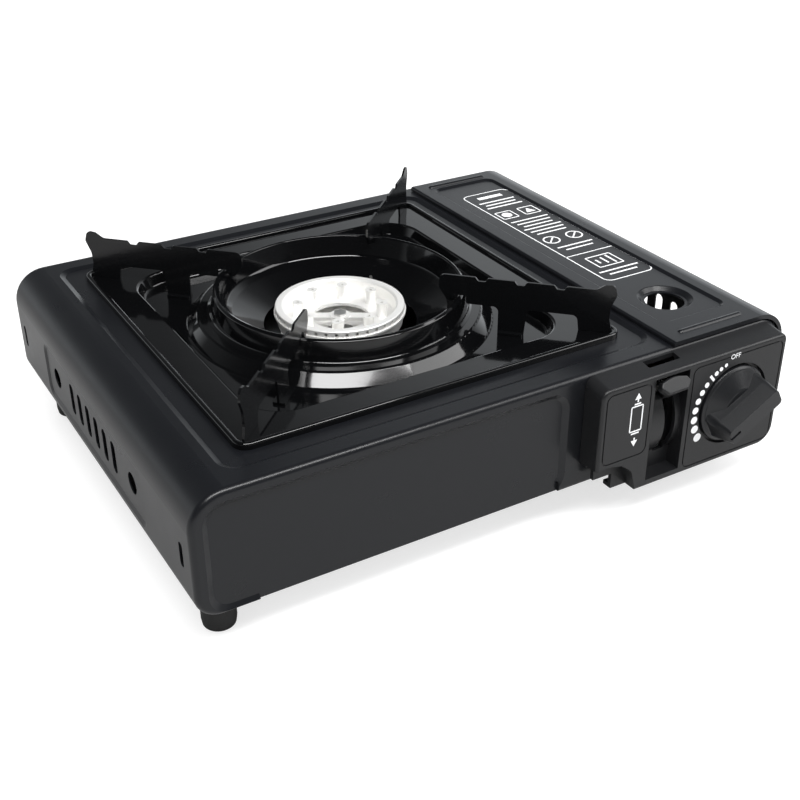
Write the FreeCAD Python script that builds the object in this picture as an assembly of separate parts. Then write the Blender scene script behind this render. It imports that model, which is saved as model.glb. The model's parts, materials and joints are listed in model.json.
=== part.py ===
import FreeCAD, Part
import math
import os

# Butane cassette stove. Millimetres, +X right along the front face, +Y to the back, +Z up.
# Shapes are drawn around the casing's own middle line and moved by row_shift when written,
# so that the finished box is centred on the origin with its feet at z = 0.

V = FreeCAD.Vector
os.makedirs("parts", exist_ok=True)

# Driving dimensions
left_x = -170.0
lid_right_x = 170.0
half_depth = 132.0
deck_z = 86.0
case_bottom_z = 21.5
sheet = 0.8
rest_gap = 0.1
run_gap = 0.05

# Casing
lid_side_step = 2.0
case_right_x = lid_right_x - lid_side_step
shoulder_r = 18.0
right_shoulder_r = 16.0
lower_corner_r = 12.0
edge_r = 3.0
plate_z = case_bottom_z + sheet
plate_top_z = plate_z + sheet

# Lowered field of the deck around the drip pan
field_x0, field_x1 = -144.6, 87.0
field_half_y = half_depth - 15.0
field_drop = 1.4
field_slope = 3.0
field_corner_r = 7.0
field_z = deck_z - field_drop

# Front face field
front_field_x0, front_field_x1 = -161.0, 24.5
front_field_top_z = 77.5
front_field_bottom_z = 25.0
front_field_depth = 2.0
front_field_slope = 3.0
front_lip_end_x = -140.0

# Side vents: one pattern, which sits further forward on the right wall
left_vent_y = 3.0
right_vent_y = -19.0
vent_pitch = 13.0
vent_count = 6
vent_width = 6.2
vent_low_z, vent_high_z = 41.5, 59.4
vent_hole_r = 5.6
vent_hole_reach = 58.5
vent_hole_z = 50.5
side_field_half_y = 74.0
side_field_z0, side_field_z1 = 36.0, 63.5
side_field_depth = 0.9
side_field_slope = 2.4
end_slot_y = half_depth - 13.0
end_slot_z = 51.0
end_slot_width, end_slot_height = 4.2, 13.0

# Drip pan
pan_x = -28.0
pan_half = 107.4
pan_corner_r = 7.0
pan_sheet = 0.9
bead_width = 3.0
bead_top_z = 88.0
border_z = 86.2
floor_z = 79.5
recess_half = 88.5
recess_corner_r = 22.0
recess_draft = 2.2
recess_top_r, recess_foot_r = 1.3, 1.6
ring_end_r = 84.2
collar_r = 66.1
collar_z = 98.6
pan_hole_r = 41.5
deck_hole_half = 91.5
deck_hole_corner_r = 24.0

# Pan supports
support_sheet = 1.2
support_top_z = 109.8
support_web_z = 94.3
support_nose_r = 54.8
horn_r = 147.2
horn_tip_z = 113.4

# Burner
burner_turn = -31.0
head_r = 35.0
head_top_z = 86.4
head_floor_z = 78.6
head_rim = 4.2
head_wall = 1.6
low_ring_r = 35.7
low_ring_z = 82.9
post_count = 8
post_circle_r = 22.8
post_r, post_hole_r = 2.9, 1.0
head_hole_r = 15.6
flame_slots = 40

# Cartridge bay and cartridge (a bought 66 mm can, length 187 mm, not part of the stove)
bay_x0 = 96.0
bay_y0, bay_y1 = 11.0 - half_depth, half_depth - 15.0
can_x, can_z, can_r = 130.0, 53.2, 32.8
partition_x = 91.0

# Lid
lid_x0 = 92.5
lid_y0, lid_y1 = 0.4 - half_depth, half_depth - 6.4
lid_top_z = 88.8
lid_shoulder_r = 18.0
lid_field_x0, lid_field_x1 = 103.5, 145.0
lid_field_y0, lid_field_y1 = lid_y0 + 21.6, lid_y1 - 13.6
lid_field_drop = 1.2
lid_field_slope = 2.0
lid_hole_x, lid_hole_y, lid_hole_r, lid_dish_r = 125.0, lid_y0 + 44.6, 10.8, 15.6
lid_rib_r = 2.2
hinge_x, hinge_z = 167.9, 66.0
hinge_barrel_r = 2.0
hinge_pin_r = 1.0
knuckle_count = 5

# Control panel
panel_x0, panel_x1 = 36.0, 158.0
panel_z0, panel_z1 = 18.0, 83.0
panel_depth = 13.7
panel_back_y = -half_depth - 0.3
panel_front_y = panel_back_y - panel_depth
panel_wall = 2.2
channel_x0, channel_x1 = 69.0, 91.0
channel_back_y = panel_front_y + 9.0
guide_r = 27.5
guide_wall = 2.0
guide_slot_x0, guide_slot_x1 = 80.2, 87.2
groove_width, groove_depth = 0.7, 0.5
notch_top_z = 38.5
well_r = 23.2
well_depth = 3.0

# Knob
knob_x, knob_z = 124.3, 51.2
knob_r = 21.5
knob_reach = 17.0
knob_face_y = panel_front_y - knob_reach
knob_turn = 209.0
spindle_r = 3.0

# Lever
lever_y, lever_z = 16.0 - half_depth, 50.0
lever_pin_r = 2.5
lever_hub_r = 4.8
lever_rest_angle = 39.0
arm_x0, arm_x1 = 81.0, 86.0
arm_half, arm_reach = 3.0, 33.0
thumb_r = 43.4
thumb_sheet = 3.6
lever_travel = 70.0
push_travel = 6.0

# Regulator: its place along Y, from which its pieces are set
regulator_y = 28.0 - half_depth

# Feet
foot_inset_x = 17.3
foot_y = half_depth - 21.5
foot_r = 8.4
foot_neck_r = 3.0

# The row's box is centred between the knob's face and the casing's rear face.
row_shift = -(knob_face_y + half_depth) / 2


def path_wire(points, radii, closed=False):
    """Wire through 3-D points, rounded at each corner whose radius is above zero."""
    count = len(points)
    edges = []
    ends = []
    for i in range(count):
        at = points[i]
        open_end = not closed and i in (0, count - 1)
        if radii[i] <= 0 or open_end:
            ends.append((at, at, None))
            continue
        before = (points[i - 1] - at).normalize()
        after = (points[(i + 1) % count] - at).normalize()
        angle = before.getAngle(after)
        reach = radii[i] / math.tan(angle / 2)
        middle = (before + after).normalize()
        centre = at + middle * (radii[i] / math.sin(angle / 2))
        ends.append((at + before * reach, at + after * reach, centre - middle * radii[i]))
    for i in range(count):
        first, last, arc_mid = ends[i]
        if arc_mid is not None:
            edges.append(Part.Arc(first, arc_mid, last).toShape())
        if i == count - 1 and not closed:
            break
        following = ends[(i + 1) % count][0]
        if (following - last).Length > 1e-6:
            edges.append(Part.makeLine(last, following))
    return Part.Wire(edges)


def corner_wire(corners):
    """Closed wire in the XY plane through corners (x, y) or (x, y, radius)."""
    points = [V(c[0], c[1], 0) for c in corners]
    radii = [c[2] if len(c) > 2 else 0.0 for c in corners]
    return path_wire(points, radii, closed=True)


def corner_face(corners):
    return Part.Face(corner_wire(corners))


def strip_corners(corners, thickness):
    """Closed outline of a sheet: the given line, and the same line offset to its left."""
    count = len(corners)
    points = [V(c[0], c[1], 0) for c in corners]
    side = []
    for i in range(count):
        radius = corners[i][2] if len(corners[i]) > 2 else 0.0
        into = (points[i] - points[i - 1]).normalize() if i > 0 else None
        out = (points[i + 1] - points[i]).normalize() if i < count - 1 else None
        into = into if into is not None else out
        out = out if out is not None else into
        left_in = V(-into.y, into.x, 0)
        left_out = V(-out.y, out.x, 0)
        mitre = (left_in + left_out).normalize()
        at = points[i] + mitre * (thickness / mitre.dot(left_in))
        turn = into.x * out.y - into.y * out.x
        if radius > 0:
            radius = max(radius - thickness, 0.05) if turn > 0 else radius + thickness
        side.append((at.x, at.y, radius))
    return list(corners) + side[::-1]


def upright(shape):
    """Turn a shape drawn in XY so that its Y is up: (x, y, 0) becomes (x, 0, y)."""
    return shape.rotated(V(0, 0, 0), V(1, 0, 0), 90)


def front_prism(corners, y0, y1):
    face = upright(corner_face(corners))
    return face.translated(V(0, y0, 0)).extrude(V(0, y1 - y0, 0))


def plan_prism(corners, z0, z1):
    return corner_face(corners).translated(V(0, 0, z0)).extrude(V(0, 0, z1 - z0))


def side_prism(corners, x0, x1):
    """Corners are (y, z, radius); the prism runs along X."""
    face = corner_face(corners).rotated(V(0, 0, 0), V(1, 1, 1), 120)
    return face.translated(V(x0, 0, 0)).extrude(V(x1 - x0, 0, 0))


def box(x0, x1, y0, y1, z0, z1):
    return Part.makeBox(x1 - x0, y1 - y0, z1 - z0, V(x0, y0, z0))


def rounded(x0, y0, x1, y1, r):
    """Corners of a rectangle; r is one radius or four, from the lower left anticlockwise."""
    radii = r if isinstance(r, tuple) else (r, r, r, r)
    return [(x0, y0, radii[0]), (x1, y0, radii[1]), (x1, y1, radii[2]), (x0, y1, radii[3])]


def rod(start, end, radius):
    axis = end - start
    return Part.makeCylinder(radius, axis.Length, start, axis)


def turned(corners, x=0.0, y=0.0):
    """Revolve an outline of (radius, height, corner radius) about an upright axis."""
    face = upright(corner_face(corners))
    return face.revolve(V(0, 0, 0), V(0, 0, 1), 360).translated(V(x, y, 0))


def joined(shapes):
    whole = shapes[0]
    if len(shapes) > 1:
        whole = whole.fuse(shapes[1:])
    return whole.removeSplitter()


def tube_along(wire, outer_r, inner_r=0.0):
    """Round tube along a wire, made from one or two swept circles."""
    start = wire.OrderedVertexes[0].Point
    edge = wire.OrderedEdges[0]
    heading = edge.tangentAt(edge.FirstParameter)
    if (edge.valueAt(edge.FirstParameter) - start).Length > 1e-4:
        heading = edge.tangentAt(edge.LastParameter).negative()

    def swept(radius):
        ring = Part.Wire([Part.makeCircle(radius, start, heading)])
        return wire.makePipeShell([ring], True, True)

    tube = swept(outer_r)
    return tube.cut(swept(inner_r)) if inner_r > 0 else tube


def save(name, shape):
    """Write one node as a STEP file, moved into the row's frame."""
    solids = shape.Solids
    body = solids[0] if len(solids) == 1 else Part.makeCompound(solids)
    body.translated(V(0, row_shift, 0)).exportStep("parts/" + name + ".step")
    box_now = body.BoundBox
    print("%-20s solids %d valid %s x %.1f..%.1f y %.1f..%.1f z %.1f..%.1f" % (
        name, len(solids), body.isValid(), box_now.XMin, box_now.XMax,
        box_now.YMin, box_now.YMax, box_now.ZMin, box_now.ZMax))


def turned_y(corners, x, z):
    """Revolve an outline of (radius, y, corner radius) about an axis that runs along Y."""
    face = corner_face(corners)
    return face.revolve(V(0, 0, 0), V(0, 1, 0), 360).translated(V(x, 0, z))


def turned_x(corners, y, z):
    """Revolve an outline of (x, radius, corner radius) about an axis that runs along X."""
    face = corner_face(corners)
    return face.revolve(V(0, 0, 0), V(1, 0, 0), 360).translated(V(0, y, z))


def around(shape, count, x, y, first=0.0):
    """Copies of a shape spaced evenly about an upright axis."""
    step = 360.0 / count
    return [shape.rotated(V(x, y, 0), V(0, 0, 1), first + step * i) for i in range(count)]


def vent_slots(x0, x1, middle_y):
    """Prisms for one side's vent slots about middle_y, their two round holes and two end slots."""
    half_width = vent_width / 2
    cuts = []
    for i in range(vent_count):
        y = middle_y + vent_pitch * (i - (vent_count - 1) / 2)
        slot = rounded(y - half_width, vent_low_z, y + half_width, vent_high_z, half_width * 0.98)
        cuts.append(side_prism(slot, x0, x1))
    for side in (-1, 1):
        hole_y = middle_y + side * vent_hole_reach
        cuts.append(rod(V(x0, hole_y, vent_hole_z), V(x1, hole_y, vent_hole_z), vent_hole_r))
        y = side * end_slot_y
        slot = rounded(y - end_slot_width / 2, end_slot_z - end_slot_height / 2,
                       y + end_slot_width / 2, end_slot_z + end_slot_height / 2,
                       end_slot_width * 0.49)
        cuts.append(side_prism(slot, x0, x1))
    return cuts


def sunk_field(x0, y0, x1, y1, r, depth, slope, inset):
    """Cutter for a pressed field with sloping walls, in a surface at z = 0 that faces up.

    x0 to y1 are the floor's edges, r its corner radius. With inset the cutter is the one for
    the sheet's other face, so that the wall keeps its thickness on the slopes too.
    """
    lean = math.atan2(depth, slope)
    low = inset * math.tan(lean / 2)
    rise = 1.0 + depth + inset
    high = low + rise * slope / depth
    wires = []
    for grow, z in ((low, -depth - inset), (high, 1.0)):
        wire = corner_wire(rounded(x0 - grow, y0 - grow, x1 + grow, y1 + grow, r + grow))
        wires.append(wire.translated(V(0, 0, z)))
    return Part.makeLoft(wires, True, True)


def case_form(inset):
    """The casing as a full body, with every face moved inward by inset."""
    out_y = half_depth - inset
    body = front_prism(
        rounded(left_x + inset, case_bottom_z + inset, case_right_x - inset, deck_z - inset,
                (lower_corner_r - inset, lower_corner_r - inset,
                 right_shoulder_r - inset, shoulder_r - inset)), -out_y, out_y)
    rims = [e for e in body.Edges if e.BoundBox.YMax - e.BoundBox.YMin < 1e-6]
    body = body.makeFillet(edge_r - inset, rims)
    deck_field = sunk_field(field_x0, -field_half_y, field_x1, field_half_y, field_corner_r,
                            field_drop, field_slope, inset).translated(V(0, 0, deck_z))
    front_field = upright(sunk_field(
        front_field_x0, front_field_bottom_z, front_field_x1, front_field_top_z, 8.0,
        front_field_depth, front_field_slope, inset)).translated(V(0, -half_depth, 0))
    below_field = box(front_lip_end_x - inset, front_field_x1 + inset, -half_depth - 1,
                      front_field_depth - half_depth + inset, case_bottom_z - 1,
                      front_field_bottom_z + 3)
    rear_field = upright(sunk_field(
        front_field_x0 + 20, 32, front_field_x1 + 50, front_field_top_z - 4, 8.0,
        side_field_depth, side_field_slope, inset))
    rear_field = rear_field.mirror(V(0, 0, 0), V(0, 1, 0)).translated(V(0, half_depth, 0))
    left_field = sunk_field(
        -left_vent_y - side_field_half_y, side_field_z0, -left_vent_y + side_field_half_y,
        side_field_z1, 4.0, side_field_depth, side_field_slope, inset)
    left_field = upright(left_field).rotated(V(0, 0, 0), V(0, 0, 1), -90).translated(V(left_x, 0, 0))
    return body.cut([deck_field, front_field, below_field, rear_field, left_field])


def foot_places():
    left = left_x + foot_inset_x
    right = case_right_x - foot_inset_x
    return {"foot_front_left": (left, -foot_y), "foot_front_right": (right, -foot_y),
            "foot_rear_left": (left, foot_y), "foot_rear_right": (right, foot_y)}


def hinge_segments(own):
    """Y ranges of the hinge barrels; own is 0 for the casing's and 1 for the lid's."""
    first, last = bay_y0 + 3, bay_y1 - 3
    length = (last - first) / knuckle_count
    gap = 0.3
    return [(first + length * i + gap, first + length * (i + 1) - gap)
            for i in range(knuckle_count) if i % 2 == own]


def make_casing():
    shell = case_form(0.0).cut(case_form(sheet))
    wall_top = hinge_z - hinge_barrel_r - 0.4
    inner_y = half_depth - sheet
    cuts = [box(front_lip_end_x, can_x + 13, -inner_y, inner_y, case_bottom_z - 1, plate_z)]
    cuts.append(plan_prism(
        rounded(pan_x - deck_hole_half, -deck_hole_half, pan_x + deck_hole_half, deck_hole_half,
                deck_hole_corner_r), field_z - 3, deck_z + 1))
    cuts.append(box(bay_x0, case_right_x + 5, bay_y0, bay_y1, wall_top, deck_z + 1))
    cuts.append(box(channel_x0 - 1, channel_x1 + 1, -half_depth - 1, -inner_y + 1, 26, 81))
    cuts.append(rod(V(knob_x, -half_depth - 1, knob_z), V(knob_x, -inner_y + 1, knob_z), 8))
    cuts += vent_slots(left_x - 1, left_x + side_field_depth + 2, left_vent_y)
    cuts += vent_slots(case_right_x - 2, case_right_x + 1, right_vent_y)
    for i in range(vent_count):
        x = pan_x + vent_pitch * (i - (vent_count - 1) / 2)
        slot = rounded(x - vent_width / 2, vent_low_z, x + vent_width / 2, vent_high_z,
                       vent_width * 0.49)
        cuts.append(front_prism(slot, half_depth - 4, half_depth + 1))
    for x, y in foot_places().values():
        cuts.append(rod(V(x, y, case_bottom_z - 1), V(x, y, plate_top_z + 1), foot_neck_r + 0.1))
    shell = shell.cut(cuts)
    knuckles = []
    for y0, y1 in hinge_segments(0):
        barrel = rod(V(hinge_x, y0, hinge_z), V(hinge_x, y1, hinge_z), hinge_barrel_r)
        web = box(case_right_x - sheet, case_right_x, y0, y1, wall_top - 0.2, hinge_z - 0.5)
        knuckles += [barrel, web]
    bore = rod(V(hinge_x, bay_y0, hinge_z), V(hinge_x, bay_y1, hinge_z), hinge_pin_r + run_gap)
    return joined([shell] + knuckles).cut(bore)


def make_bottom_plate():
    reach = lower_corner_r + 0.3
    plate = box(left_x + reach, case_right_x - reach, front_field_depth + sheet + 0.4 - half_depth,
                half_depth - edge_r - 0.2, plate_z, plate_top_z)
    cuts = [plan_prism(rounded(can_x - 18, -84, can_x + 16, 96, 6), plate_z - 1, plate_top_z + 1)]
    for i in range(vent_count):
        x = pan_x + 24 * (i - (vent_count - 1) / 2)
        for side in (-1, 1):
            y = side * 78
            cuts.append(plan_prism(rounded(x - 4, y - 22, x + 4, y + 22, 3.9),
                                   plate_z - 1, plate_top_z + 1))
    for x, y in foot_places().values():
        cuts.append(rod(V(x, y, plate_z - 1), V(x, y, plate_top_z + 1), foot_neck_r + 0.1))
    return plate.cut(cuts)


def make_foot(x, y):
    top = case_bottom_z - 0.1
    return turned([(0, 0), (foot_r - 0.6, 0, 1.2), (foot_r, 4, 2), (foot_r, top, 0.6),
                   (foot_neck_r, top), (foot_neck_r, plate_top_z + 0.1),
                   (foot_neck_r + 1.8, plate_top_z + 0.2), (foot_neck_r + 1.0, plate_top_z + 3, 0.8),
                   (0, plate_top_z + 3)], x, y)


def make_partition():
    front_y, rear_y = 33.0 - half_depth, half_depth - 6
    wall = box(partition_x, partition_x + sheet, front_y, rear_y, plate_top_z, deck_z - sheet - 0.3)
    foot = box(partition_x - 7, partition_x + sheet, front_y, rear_y, plate_top_z, plate_top_z + sheet)
    holes = [rod(V(partition_x - 1, y, 62), V(partition_x + 2, y, 62), 6) for y in (-60, -20, 20, 60)]
    return joined([wall, foot]).cut(holes)


def make_cradle():
    y0, y1 = -84.0, 98.0
    base = box(can_x - 31, can_x + 29, y0, y1, plate_top_z, plate_top_z + 1)
    base = base.cut(box(can_x - 18, can_x + 16, y0 + 8, y1 - 8, plate_top_z - 1, plate_top_z + 2))
    lips = []
    for side in (-1, 1):
        near = can_x + side * 24.2
        lips.append(box(min(near, near + side), max(near, near + side), y0, y1,
                        plate_top_z, can_z - math.sqrt(can_r ** 2 - 25.2 ** 2) - 0.4))
    return joined([base] + lips)


def make_slide_channel():
    """Narrow U rail in which the pusher's strip runs."""
    x0, x1 = slide_x0 - 0.3, slide_x1 + 0.3
    outer = box(x0 - sheet, x1 + sheet, -97, 102, plate_top_z, 33)
    return outer.cut(box(x0, x1, -98, 103, plate_top_z + sheet, 34))


crank_r = push_travel / 2 / math.sin(math.radians(lever_travel / 2))
crank_pin_r = 1.5
fork_y = lever_y + push_travel / 2
slide_x0, slide_x1 = 96.0, 97.2


def make_pusher_slide():
    """Strip beside the cartridge: a fork for the lever's crank in front, a tab behind the can."""
    strip = box(slide_x0, slide_x1, fork_y - 4, 111.5, plate_top_z + sheet + 0.3, 37)
    fork = box(slide_x0, slide_x1, fork_y - 4, fork_y + 3.7, 36, 60)
    pin_low = lever_z + crank_r * math.cos(math.radians(lever_travel / 2)) - crank_pin_r
    slot_half = crank_pin_r + 0.2
    slot = box(slide_x0 - 1, slide_x1 + 1, fork_y - slot_half, fork_y + slot_half,
               pin_low - 0.4, lever_z + crank_r + crank_pin_r + 0.4)
    tab = side_prism(rounded(110, 27, 111.5, 62, 0.1), slide_x0, 150)
    return joined([strip, fork, tab]).cut(slot)


def make_valve_plate():
    y = regulator_y + 7
    outline = [(99.4, plate_top_z), (156, plate_top_z, 2), (163, 32, 4), (163, 72, 10),
               (150, 79, 6), (108, 79, 6), (99.4, 70, 4)]
    plate = front_prism(outline, y, y + 1.2)
    hole = rod(V(can_x, y - 2, can_z), V(can_x, y + 3, can_z), 16.5)
    foot = box(105, 155, y + 1.2, y + 10, plate_top_z, plate_top_z + 0.9)
    return joined([plate.cut(hole), foot])


def make_regulator_body():
    y = regulator_y
    body = turned_y([(0, y - 20), (9, y - 20, 1), (9, y - 16), (15, y - 14, 1.5), (15, y + 14, 1),
                     (12, y + 16), (7, y + 16), (7, y + 8), (2, y + 8), (2, y), (0, y)],
                    can_x, can_z)
    boss = rod(V(knob_x, y - 26, knob_z), V(knob_x, y - 11, knob_z), 7)
    housing = turned_x([(136, 0), (136, 11), (148, 13, 1), (152, 13), (152, 0)], y - 7, can_z)
    port = rod(V(120, y - 2.5, 60), V(110.2, y - 2.5, 60), 4.2)
    seat = box(can_x - 8, can_x + 8, y - 16, y + 4, plate_top_z, can_z - 12)
    bore = rod(V(knob_x, y - 27, knob_z), V(knob_x, y - 13, knob_z), spindle_r + run_gap)
    return joined([body, boss, housing, port, seat]).cut(bore)


def make_regulator_cover():
    return turned_x([(152.1, 0), (152.1, 14, 0.8), (156, 14, 1.5), (159, 8, 1), (161, 8, 1),
                     (161, 0)], regulator_y - 7, can_z)


tube_z = 50.0
tube_r = 8.0
tube_length = 105.0
tube_heading = V(-0.8230, 0.5680, 0).normalize()
burner_axis = V(pan_x, 0, tube_z)


def along_tube(distance):
    """A point on the mixing tube's line, that far from the burner's axis."""
    return burner_axis - tube_heading * distance


def make_gas_pipe():
    end = along_tube(tube_length + 21)
    y = regulator_y - 2.5
    points = [V(110.1, y, 60), V(84, y, 60), end - tube_heading * 14, end]
    return tube_along(path_wire(points, [0, 9, 6, 0]), 2.5, 1.6)


def make_nozzle():
    first, shoulder, tip = [along_tube(tube_length + step) for step in (20.9, 12.2, 2.0)]
    body = joined([rod(first, shoulder, 4.6), rod(shoulder, tip, 2.6)])
    jet = rod(first, tip, 0.5)
    return body.cut(jet)


def make_nozzle_bracket():
    face_at = along_tube(tube_length + 11.5)
    plate = box(-0.6, 0.6, -10, 10, plate_top_z, 60)
    foot = box(-0.6, 12, -10, 10, plate_top_z, plate_top_z + 1)
    hole = rod(V(-2, 0, tube_z), V(2, 0, tube_z), 2.7)
    angle = math.degrees(math.atan2(-tube_heading.y, -tube_heading.x))
    turned_piece = joined([plate, foot]).cut(hole).rotated(V(0, 0, 0), V(0, 0, 1), angle)
    return turned_piece.translated(V(face_at.x, face_at.y, 0))


def make_mixing_tube():
    mouth = along_tube(tube_length)
    top = V(pan_x, 0, 67)
    tube = tube_along(path_wire([mouth, burner_axis, top], [0, 14, 0]), tube_r, tube_r - 1)
    bell_end = along_tube(tube_length - 9)
    bell = rod(mouth, bell_end, tube_r + 2.5).cut(rod(mouth, bell_end, tube_r - 1))
    air = V(0, 0, 1)
    middle = along_tube(tube_length - 4.5)
    ports = [rod(middle - air * 12, middle + air * 12, 2.4)]
    return joined([tube, bell]).cut(ports)


def make_burner_bracket():
    angle = math.degrees(math.atan2(tube_heading.y, tube_heading.x))
    top_z = 64.6
    base = box(-14, 14, -31, 31, plate_top_z, plate_top_z + 1.2)
    legs = [box(-11, 11, side * 30 - 0.6, side * 30 + 0.6, plate_top_z, top_z) for side in (-1, 1)]
    top = box(-14, 14, -30.6, 30.6, top_z - 1.2, top_z)
    bore = rod(V(0, 0, top_z - 3), V(0, 0, top_z + 1), tube_r + 0.4)
    whole = joined([base, top] + legs).cut(bore)
    return whole.rotated(V(0, 0, 0), V(0, 0, 1), angle).translated(V(pan_x, 0, 0))


def make_burner_base():
    rim = head_r - 0.5
    return turned([(tube_r + 0.1, 64.7), (13, 64.7, 0.6), (14, 67.5), (rim - 1, 73.6, 4), (rim, 81.5),
                   (rim - 1.4, 81.5), (rim - 2.3, 75.0, 3), (12, 69.8, 2), (tube_r + 0.1, 69.6)],
                  pan_x)


def make_burner_head():
    under = head_floor_z - head_wall
    rim_in = head_r - head_rim
    bowl = turned([(head_hole_r, under), (head_hole_r, head_floor_z), (rim_in - 0.8, head_floor_z, 1.0),
                   (rim_in - 0.5, head_top_z - 0.8), (rim_in + 0.6, head_top_z, 0.3),
                   (head_r, head_top_z, 0.6), (head_r, low_ring_z + 0.1), (low_ring_r, low_ring_z),
                   (low_ring_r, low_ring_z - 1.3, 0.4), (head_r - head_wall, low_ring_z - 1.3),
                   (head_r - head_wall, head_top_z - 2), (rim_in + 1.6, head_top_z - 2),
                   (rim_in + 1.0, under)])
    posts = around(rod(V(post_circle_r, 0, under), V(post_circle_r, 0, head_top_z + 0.2), post_r),
                   post_count, 0, 0)
    bar_top = head_floor_z + 0.3
    bars = [box(-head_hole_r - 1, head_hole_r + 1, -3, 3, under, bar_top),
            box(-2.6, 2.6, -head_hole_r - 1, 0, under, bar_top),
            rod(V(0, 0, under), V(0, 0, bar_top + 0.6), 5.6)]
    head = joined([bowl] + posts + bars)
    slot = box(head_r - head_wall - 0.3, head_r + 2, -0.75, 0.75, low_ring_z + 0.4, head_top_z - 1.2)
    cuts = around(slot, flame_slots, 0, 0)
    cuts += around(rod(V(post_circle_r, 0, head_top_z - 5), V(post_circle_r, 0, head_top_z + 1),
                       post_hole_r), post_count, 0, 0)
    cuts.append(rod(V(0, 0, under - 1), V(0, 0, bar_top + 2), 2.1))
    cuts.append(rod(V(0, -head_hole_r * 0.62, under - 1), V(0, -head_hole_r * 0.62, bar_top + 2), 1.0))
    head = head.cut(cuts)
    return head.rotated(V(0, 0, 0), V(0, 0, 1), burner_turn).translated(V(pan_x, 0, 0))


def make_burner_screw():
    seat = head_floor_z + 0.9
    points = [V(3.6 * math.cos(math.radians(60 * i)), 3.6 * math.sin(math.radians(60 * i)), seat)
              for i in range(6)]
    hexagon = Part.Face(path_wire(points, [0] * 6, closed=True)).extrude(V(0, 0, 1.3))
    shank = rod(V(0, 0, seat - 8), V(0, 0, seat), 2.0)
    return joined([hexagon, shank]).translated(V(pan_x, 0, 0))


electrode_r = 39.4
electrode_angle = math.radians(35)
electrode_x = pan_x + electrode_r * math.cos(electrode_angle)
electrode_y = electrode_r * math.sin(electrode_angle)


def make_electrode():
    inward = V(-math.cos(electrode_angle), -math.sin(electrode_angle), 0)
    foot = V(electrode_x, electrode_y, 66.2)
    knee = V(electrode_x, electrode_y, 82)
    return tube_along(path_wire([foot, knee, knee + inward * 0.9 + V(0, 0, 4)], [0, 2, 0]), 0.8)


def make_insulator():
    return turned([(0, 46), (2.4, 46), (3.2, 47, 0.4), (3.2, 54), (4.2, 54.5), (4.2, 57), (3.2, 57.5),
                   (2.2, 66, 0.8), (0.8, 66), (0, 66)], electrode_x, electrode_y)


def make_igniter_bracket():
    x, y = electrode_x, electrode_y
    foot = box(x - 5, x + 5, y, y + 14, plate_top_z, plate_top_z + 1)
    wall = box(x - 5, x + 5, y + 13, y + 14, plate_top_z, 53.9)
    shelf = box(x - 5, x + 5, y - 6, y + 14, 52.9, 53.9)
    return joined([foot, wall, shelf]).cut(rod(V(x, y, 50), V(x, y, 56), 3.3))


def make_igniter_lead():
    points = [V(electrode_x, electrode_y, 45.9), V(electrode_x, electrode_y, 34), V(60, -80, 34),
              V(86, regulator_y - 2, 46), V(106, regulator_y + 2.5, 46),
              V(106, regulator_y + 2.5, 64.9)]
    return tube_along(path_wire(points, [0, 8, 12, 10, 8, 0]), 1.2)


def make_spark_unit():
    y = regulator_y
    body = box(104, 118, y - 24, y + 6, 65, 79)
    tab = box(117, 127, y - 10, y - 4, 68.4, 70)
    striker = rod(V(111, y - 26, 72), V(111, y - 23, 72), 3)
    return joined([body, tab, striker])


def square_ring(outer_half, outer_r, inner_half, inner_r, z0, z1):
    ring = plan_prism(rounded(-outer_half, -outer_half, outer_half, outer_half, outer_r), z0, z1)
    hole = plan_prism(rounded(-inner_half, -inner_half, inner_half, inner_half, inner_r), z0 - 1, z1 + 1)
    return ring.cut(hole).translated(V(pan_x, 0, 0))


def recess_loft(grow):
    """Drafted rounded-square body of the pan's recess, moved outward and down by grow."""
    wires = []
    for half, z in ((recess_half, border_z), (recess_half - recess_draft, floor_z)):
        h = half + grow
        wire = corner_wire(rounded(-h, -h, h, h, recess_corner_r + grow))
        wires.append(wire.translated(V(pan_x, 0, z - grow)))
    body = Part.makeLoft(wires, True, True)
    foot = [e for e in body.Edges if e.BoundBox.ZMax < floor_z - grow + 0.01]
    return body.makeFillet(recess_foot_r + grow, foot)


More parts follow.
